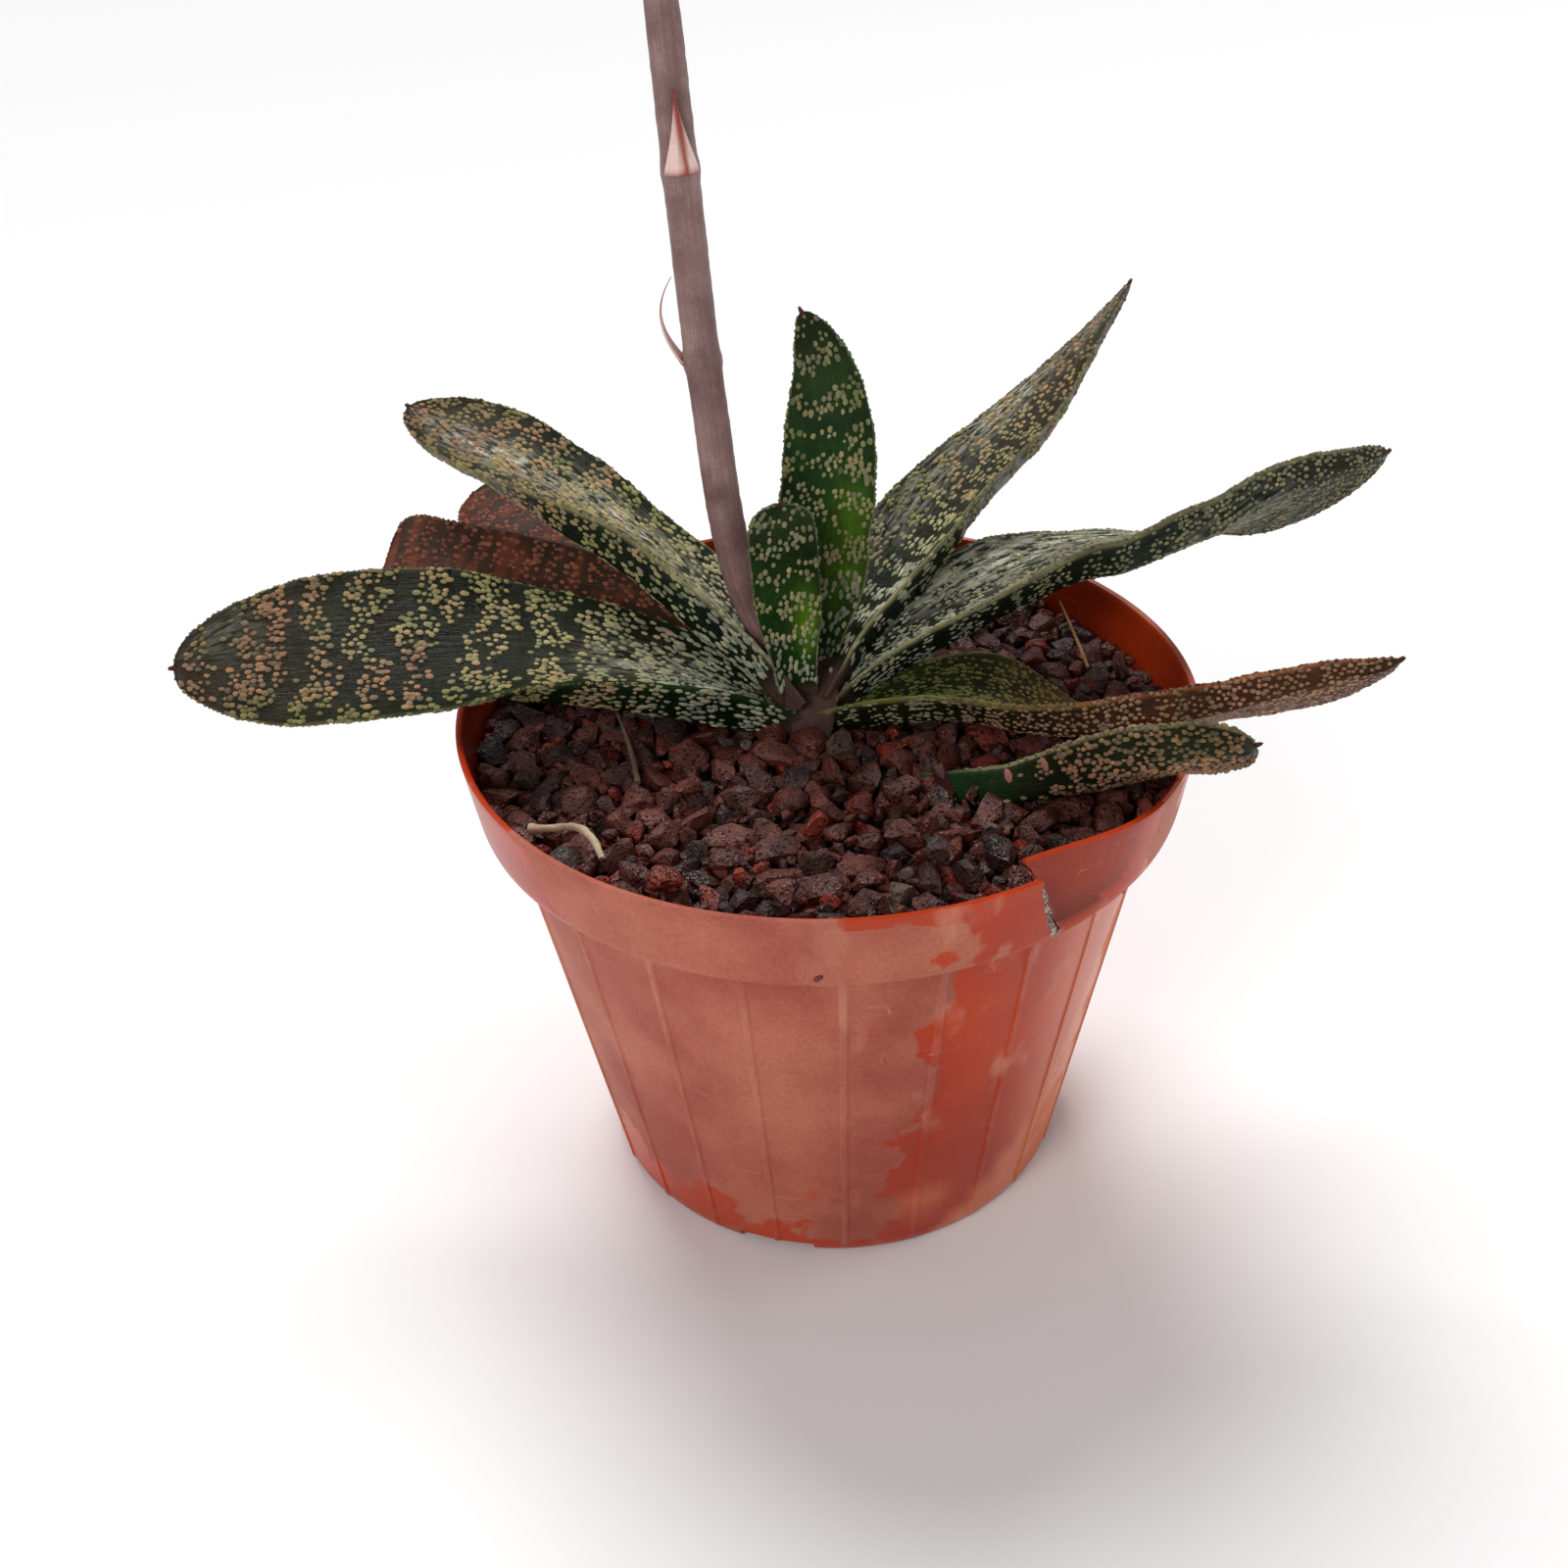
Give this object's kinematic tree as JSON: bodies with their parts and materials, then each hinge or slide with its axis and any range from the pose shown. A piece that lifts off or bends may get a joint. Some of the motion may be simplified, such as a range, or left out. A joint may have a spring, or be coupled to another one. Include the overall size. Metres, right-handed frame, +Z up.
{
  "type": "potted gasteria",
  "caption": "Dark spotted gasteria with thick tongue-shaped leaves and a flower stalk, in a round plastic nursery pot with a cracked rim, topped with lava gravel.",
  "frame": {"origin": "centre of the pot's underside, on the surface it stands on", "axes": "+Z up, +X to the right seen from the front, -Y towards the front, where the cracked stretch of the rim is right of the middle"},
  "size_m": [0.2335, 0.1515, 0.2812],
  "materials": {
    "pot_plastic": "satin, dusty in places",
    "lava": "rough",
    "mix": "rough",
    "root": "matte",
    "stalk": "satin",
    "bract": "matte",
    "bud": "satin",
    "fresh_leaf": "glossy",
    "dark_leaf": "glossy, spotted",
    "red_leaf": "glossy, banded",
    "dry_litter": "matte"
  },
  "bodies": {
    "root": {"pot": "pot_plastic", "lava_gravel": "lava", "potting_mix": "mix", "rootstock": "root", "flower_stalk": "stalk", "bract_lower": "bract", "bract_upper": "bract", "flower_bud_1": "bud", "flower_bud_2": "bud", "flower_bud_3": "bud", "flower_bud_4": "bud", "flower_bud_5": "bud", "flower_bud_6": "bud", "flower_bud_7": "bud", "flower_bud_8": "bud", "flower_bud_9": "bud", "lava_stone_1": "lava", "lava_stone_2": "lava", "lava_stone_3": "lava", "lava_stone_4": "lava", "lava_stone_5": "lava", "lava_stone_6": "lava", "lava_stone_7": "lava", "lava_stone_8": "lava", "lava_stone_9": "lava", "lava_stone_10": "lava", "leaf_inner_young": "fresh_leaf", "leaf_upright": "fresh_leaf", "leaf_right_back": "dark_leaf", "leaf_left_upper": "dark_leaf", "leaf_right_upper": "dark_leaf", "leaf_right_low": "dark_leaf", "leaf_left_front": "dark_leaf", "leaf_offset": "dark_leaf", "leaf_left_rear": "red_leaf", "leaf_left_far": "red_leaf", "curled_twig": "dry_litter", "straw": "dry_litter", "dry_stem": "dry_litter", "dried_leaf": "dry_litter"}
  },
  "joints": []
}
